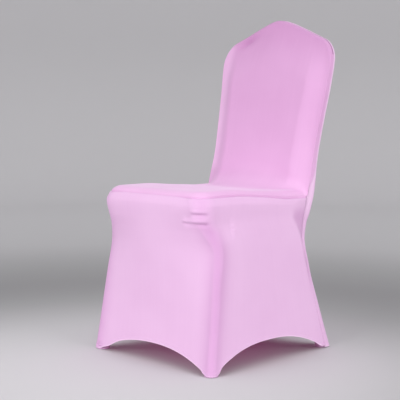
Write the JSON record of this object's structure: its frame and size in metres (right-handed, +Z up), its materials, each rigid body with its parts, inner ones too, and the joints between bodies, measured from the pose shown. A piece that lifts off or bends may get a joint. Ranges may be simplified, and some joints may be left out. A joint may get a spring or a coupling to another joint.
{
  "type": "fitted stretch chair cover",
  "caption": "Hollow stretch-cloth cover in the shape of a crown-back banquet chair, with arched hems and foot pockets.",
  "frame": {"origin": "the point inside the crown where the top of the chair's back holds the cover up", "axes": "+Z up, -Y the way the chair faces, +X to the right seen from the front; the floor is at -0.9285"},
  "size_m": [0.4798, 0.5353, 0.93],
  "materials": {
    "inside_back_and_seat": "fine matt stretch knit with a soft sheen",
    "skirt": "fine matt stretch knit with a soft sheen",
    "outside_back": "fine matt stretch knit with a soft sheen",
    "foot_pocket": "fine matt stretch knit with a soft sheen"
  },
  "bodies": {
    "root": {"inside_back_and_seat": "inside_back_and_seat", "skirt": "skirt", "outside_back": "outside_back", "foot_pocket_front_left": "foot_pocket", "foot_pocket_front_right": "foot_pocket", "foot_pocket_rear_left": "foot_pocket", "foot_pocket_rear_right": "foot_pocket"}
  },
  "joints": []
}
